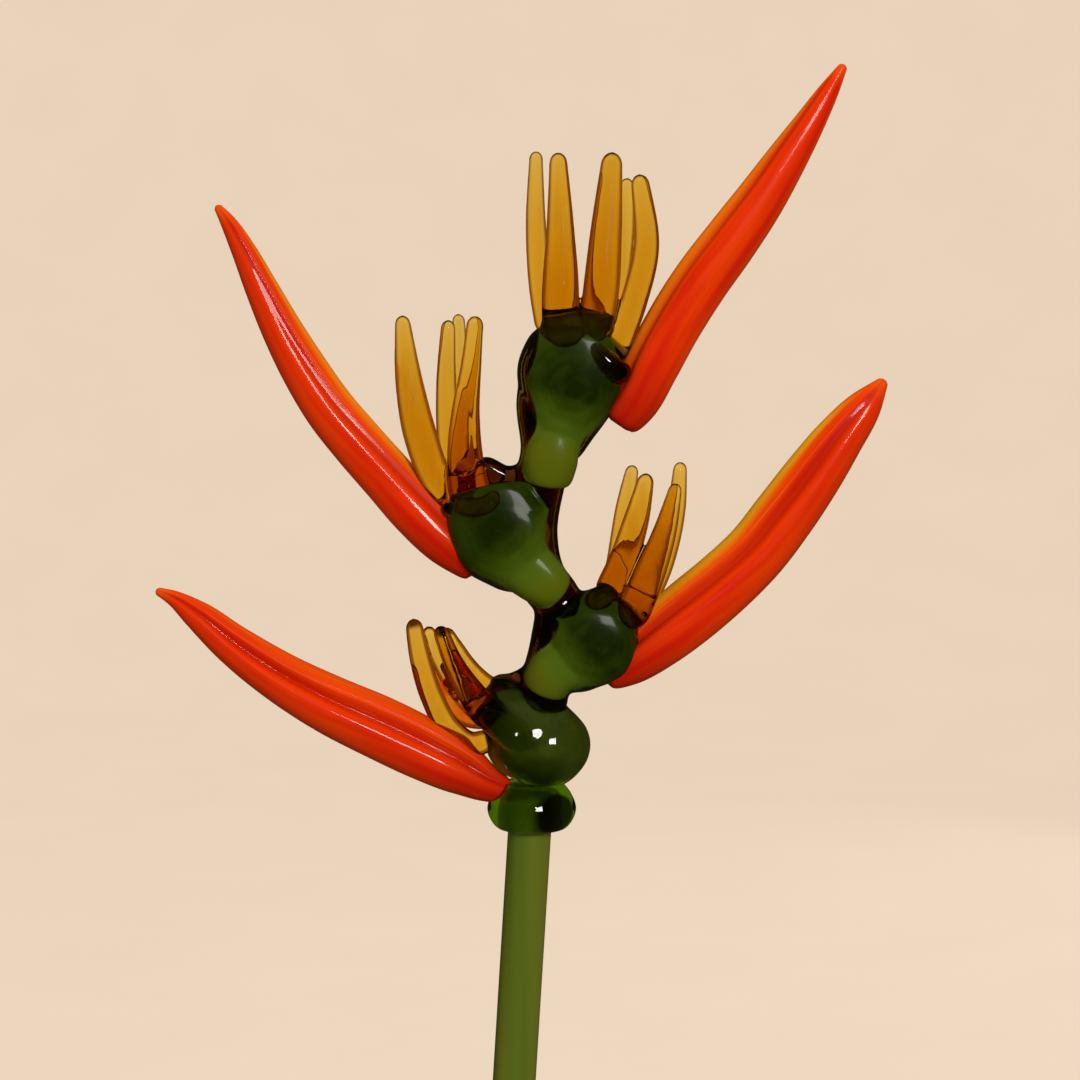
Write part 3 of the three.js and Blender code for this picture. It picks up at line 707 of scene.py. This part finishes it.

# -------------------------------------------------------------------------------------------- Florets
# Each bulb has a tuft of florets of clear amber glass: tapered fingers with round tips, drawn out of a
# shared pad and melted into one body with it. Soot from the flame has darkened three of the lowest tips.
# A few fingers have a painted red reflection of the bracts, and the fingers' edges have painted shade.

# For each tuft: its pad, as (x, y, z, radius), and then its fingers, folds and beads.
FLORETS = [
    ((-7.2, 0, 22.8, 4.6), [
        [(-7.4, -2, 17.6, 2.2), (-10.4, -2, 16.4, 2.3), (-14.4, -1.8, 19, 2.3), (-17.8, -1.6, 25, 2.2),
         (-20, -1.4, 32, 2), (-21.3, -1.2, 39, 1.5)],
        [(-6.8, 1.4, 21.6, 2.3), (-10, 1.6, 22.6, 2), (-13.4, 1.8, 26.2, 1.9), (-16.4, 1.6, 31.4, 1.7),
         (-18.8, 1.4, 37.4, 1.3)],
        [(-6.4, -3.9, 21.3, 3.0), (-8, -4.2, 22.8, 3.0), (-10.6, -4.4, 26.2, 2.6),
         (-13.8, -4.2, 31.6, 1.9), (-16.4, -4, 38, 1.4)],
        [(-4.8, 2.2, 25, 2.5), (-8.4, 2.8, 27, 2.1), (-11.4, 3.2, 30, 1.9), (-13.8, 3.2, 33.6, 1.7),
         (-15.6, 3, 37, 1.2)],
        [(-7.4, 3.6, 20.4, 2), (-12.2, 5, 21, 2), (-15.4, 5.4, 25.4, 1.8), (-17.8, 5.4, 30.6, 1.4)],
    ]),
    ((17.6, 0, 42.2, 4.8), [
        [(15.4, 2, 44.6, 2.3), (16.2, 2.6, 50, 2), (17.6, 2.8, 60, 1.7), (19, 2.6, 67.2, 1.2)],
        [(13.8, -2.6, 43.6, 2.4), (15, -2.8, 45.6, 2.8), (17, -2.4, 50, 2.7), (19.4, -2.4, 57.4, 2.4),
         (21.4, -2.4, 65.8, 1.4)],
        [(18.2, -4.8, 39.4, 3.2), (21.2, -4.4, 46.4, 3), (24.6, -4, 55.6, 2.2), (26.7, -4, 64.2, 1.1)],
        [(20.2, 1.4, 40.4, 2.4), (24.4, 2, 49.4, 2.2), (27, 2.2, 59.6, 1.8), (27.8, 2.2, 67.8, 1.2)],
        [(11, -5.4, 42.6, 1.8), (12.6, -5.4, 43.6, 2.2), (14.8, -4.6, 44.6, 2)],
    ]),
    ((-11.2, 0, 62, 5), [
        [(-12, -0.6, 59.6, 2.6), (-16.6, -1, 64.6, 2.9), (-19.8, -1.2, 72.8, 3.1), (-21.8, -1.2, 82, 2.6),
         (-23.2, -1, 94.6, 1.3)],
        [(-12.8, 2.4, 62, 2.3), (-14.6, 2.6, 70, 2.2), (-15.3, 2.8, 82, 1.9), (-14.9, 2.6, 93.8, 1.3)],
        [(-10.2, 4.4, 62.4, 2.2), (-11.4, 6, 72, 1.8), (-12.6, 7.2, 84, 1.5), (-13.2, 7.4, 95, 1.2)],
        [(-9.6, -2.4, 60.4, 3.3), (-11.4, -3, 68, 3.2), (-11.6, -3.2, 77, 2.6), (-10.6, -3.2, 86, 1.9),
         (-9.8, -3, 94.4, 1.5)],
        [(-11.4, -3.6, 61.4, 3.2), (-12.2, -4, 70, 2.8), (-12.2, -4.2, 77, 2.1), (-12, -4, 82.4, 1.2)],
        [(-10.4, 0.6, 66, 2.8), (-7, 0.4, 66.2, 2.1), (-5.4, 0.2, 65, 1.9)],
        [(-13, -5.6, 61, 1.4), (-10.4, -7, 60.4, 1.7), (-7.6, -7.2, 61, 1.7), (-6, -6.6, 62.8, 1.3)],
    ]),
    ((8.8, 0, 92.2, 6.4), [
        [(3.4, 2.4, 92.4, 2.3), (2, 2.8, 100, 2.1), (1.2, 3, 111, 1.9), (1.2, 2.6, 124.6, 1.2)],
        [(5.4, -5.4, 90.8, 3), (5.6, -4.6, 98, 3.4), (5.6, -4.2, 110, 2.6), (5.2, -4, 123.8, 1.5)],
        [(11.6, -4.6, 91.2, 2.9), (12.8, -3.6, 98, 3.3), (13.9, -3, 110, 2.9), (15, -2.8, 123.8, 1.8)],
        [(12.2, 3.4, 91, 2.4), (15.6, 4.4, 99, 2.1), (17.4, 4.8, 109, 1.8), (17.9, 4.6, 119.8, 1.3)],
        [(15.2, -2.6, 87.4, 2.5), (19, -1.8, 97.6, 2.5), (21.2, -1.4, 107, 2.4), (20, -1.2, 120, 1.6)],
        [(6.6, -4.8, 89.4, 3.8), (6.5, -4.4, 92, 4.5), (6.2, -3.8, 96, 3.9)],
        [(11.8, -5.8, 90.6, 1.4), (12.8, -5.6, 93.2, 1.8), (12.8, -5, 96.4, 1.8)],
    ]),
]
PAD_FLATNESS, PAD_SHOULDER, PAD_END = 0.84, 0.6, 0.5  # shares of the pad's radius
TUFT_GRAIN = 0.3

AMBER, AMBER_IOR, AMBER_GLINT = (0.93, 0.81, 0.41), 1.36, 0.05
SOOT_SPOTS = [(-21.5, -1.2, 40.4, 3.4), (-16.5, -4, 39, 3), (-15.7, 3, 37.4, 2)]
SOOT = (0.03, 0.014, 0.004, 1)
# Painted reflection: spots of painted red on a few fingers, standing for the red bracts seen through the
# glass.
RED_REFLECTION_SPOTS = [
    (-12.6, 6.5, 21.6, 4.6), (-15.6, 6.5, 26.4, 4.4), (-27.4, -1.2, 84.5, 4.5),
    (-28, -1.2, 88.6, 4.5),
]
PAINTED_RED_REFLECTION = (1, 0.2, 0.05, 1)
# Each tuft's rim is the breadth of the painted shade at its fingers' edges.
RIMS = [0.3, 0.5, 0.5, 0.5]  # for clear_glass: the lowest tuft has the broadest dark rims

soot_and_red_reflections = [tinted_spot(spot, SOOT) for spot in SOOT_SPOTS] + [tinted_spot(spot, PAINTED_RED_REFLECTION) for spot in RED_REFLECTION_SPOTS]
for number, ((pad, fingers), rim) in enumerate(zip(FLORETS, RIMS), 1):
    amber_glass = clear_glass("amber glass", AMBER, AMBER_IOR, spots=soot_and_red_reflections, rim=rim, glint=AMBER_GLINT)
    x, y, z, radius = pad
    rise, end = PAD_SHOULDER * (PAD_FLATNESS * radius), PAD_END * radius
    tuft = [swept("pad", [(x, y, z - rise, end), (x, y, z, radius), (x, y, z + rise, end)])]
    tuft += [swept("finger", stations, steps=120) for stations in fingers]
    tuft_mesh = melted("tuft", tuft, TUFT_GRAIN, rounds=8)
    tuft_mesh.transform(flower_root)
    finished(tuft_mesh, f"amber_florets_{number}", "amber_glass", amber_glass, f"florets_{number}")

# --------------------------------------------------------------------------------------------- Studio
# A round studio, pale all over, whose floor sweeps up into its wall. Its paint glows by itself, and near
# the vase it takes the lamps' light and shadow instead. A window-like lamp stands at the front right, and
# soft lamps above, to the left and behind.

ROOM_RADIUS, ROOM_HEIGHT, SWEEP = 3600, 5000, 1500
ROOM_MIDDLE = 1000
NEAR, FAR = 0.35, 1.1  # metres from the vase
PAINT_GLOW, PAINT_GRAIN = 0.935, 0.002
PALE_PAINT = (0.80, 0.64, 0.485, 1), (0.84, 0.675, 0.515, 1)
NEAR_GLOW = (0.32, 0.262, 0.2, 1)
NEAR_PAINT, FAR_PAINT = (0.62, 0.52, 0.41, 1), (0.12, 0.1, 0.08, 1)
LAMPS_AIM = 0.06  # metres above the flower's root
LAMPS = [  # each lamp's name, its place from there and its width in metres, its power and its colour
    ("window", (0.52, -1.42, 0.55), 0.5, 19, (1, 0.97, 0.92)),
    ("overhead", (-0.3, 0.2, 1.7), 1.5, 12, (1, 0.95, 0.88)),
    ("left", (-1.6, -0.9, 0.3), 1.4, 6, (1, 0.93, 0.86)),
    ("behind", (0.9, 1.5, 0.4), 1.4, 8, (1, 0.95, 0.9)),
]

bend = np.linspace(0, math.pi / 2, 24)
swept_up = zip(ROOM_RADIUS - SWEEP + SWEEP * np.sin(bend), SWEEP - SWEEP * np.cos(bend))
room = [(ROOM_MIDDLE, 0), *swept_up, (ROOM_RADIUS, ROOM_HEIGHT), (ROOM_MIDDLE, ROOM_HEIGHT)]
paint = Shader("studio paint", Roughness=0.9, Emission_Strength=PAINT_GLOW)
grain = paint.noise(9, detail=4)
pale = paint.mix(grain, *PALE_PAINT)
place = paint.node("ShaderNodeTexCoord", out="Object")
flat = paint.node("ShaderNodeVectorMath", {"operation": "MULTIPLY"}, {0: place, 1: (1, 1, 0)})
far = paint.node("ShaderNodeVectorMath", {"operation": "LENGTH"}, {0: flat}, 1).rise(NEAR, FAR)
glow = paint.mix(far, NEAR_GLOW, pale)
lit = paint.mix(far, NEAR_PAINT, FAR_PAINT)
paint.material.cycles.emission_sampling = "NONE"
studio_mesh = turned("studio", room)
studio_mesh.transform(Matrix.Scale(MM, 4))
studio_mesh.materials.append(paint.wear(grain, PAINT_GRAIN, Base_Color=lit, Emission_Color=glow))
studio = bpy.data.objects.new("studio", studio_mesh)
studio.visible_glossy = studio.visible_diffuse = False
bpy.context.collection.objects.link(studio)


# A lamp isn't seen itself, nor through the glass, and only the window shows as a highlight.
middle = np.array(flower_root.translation) * MM + (0, 0, LAMPS_AIM)
for name, away, width, power, colour in LAMPS:
    light = bpy.data.lights.new(name, "AREA")
    light.shape, light.size, light.size_y = "RECTANGLE", width, width
    light.energy, light.color = power, colour
    lamp = bpy.data.objects.new(name, light)
    lamp.location = middle + away
    lamp.rotation_euler = (Vector(middle) - Vector(middle + away)).to_track_quat("-Z", "Y").to_euler()
    lamp.visible_camera = lamp.visible_transmission = False
    lamp.visible_glossy = name == "window"
    bpy.context.collection.objects.link(lamp)

# The air lights the glass evenly from all round, and what the glass mirrors of it is dim, so that its
# colours aren't veiled.
AIR_FILL, AIR_MIRRORED = (0.22, 0.19, 0.16, 1), (0.032, 0.021, 0.012, 1)
world = bpy.data.worlds.new("studio air")
world.use_nodes = True
tree = world.node_tree
fill = tree.nodes["Background"]
fill.inputs["Color"].default_value = AIR_FILL
mirrored = tree.nodes.new("ShaderNodeBackground")
mirrored.inputs["Color"].default_value = AIR_MIRRORED
path = tree.nodes.new("ShaderNodeLightPath")
air = tree.nodes.new("ShaderNodeMixShader")
tree.links.new(path.outputs["Is Glossy Ray"], air.inputs[0])
tree.links.new(fill.outputs[0], air.inputs[1])
tree.links.new(mirrored.outputs[0], air.inputs[2])
tree.links.new(air.outputs[0], tree.nodes["World Output"].inputs["Surface"])
bpy.context.scene.world = world
bpy.context.scene.view_settings.view_transform = "Standard"

# --------------------------------------------------------------------------------------------- Camera
# It looks a little down on the flower from half a metre away, with the head in the frame and the stem
# running out below.

CAMERA_DISTANCE = 520
CAMERA_DROP = math.radians(4)
CAMERA_AIM = (1.93, 0, 53.95)
CAMERA_LENS = 94.4
CAMERA_NEAREST = 0.01  # metres

aim = np.array(flower_root @ Vector(CAMERA_AIM))
back = np.array([0, -math.cos(CAMERA_DROP), math.sin(CAMERA_DROP)])
camera = bpy.data.objects.new("camera", bpy.data.cameras.new("camera"))
camera.data.lens = CAMERA_LENS
camera.location = (aim + CAMERA_DISTANCE * back) * MM
camera.rotation_euler = Vector(-back).to_track_quat("-Z", "Y").to_euler()
camera.data.clip_start = CAMERA_NEAREST
bpy.context.collection.objects.link(camera)
bpy.context.scene.camera = camera
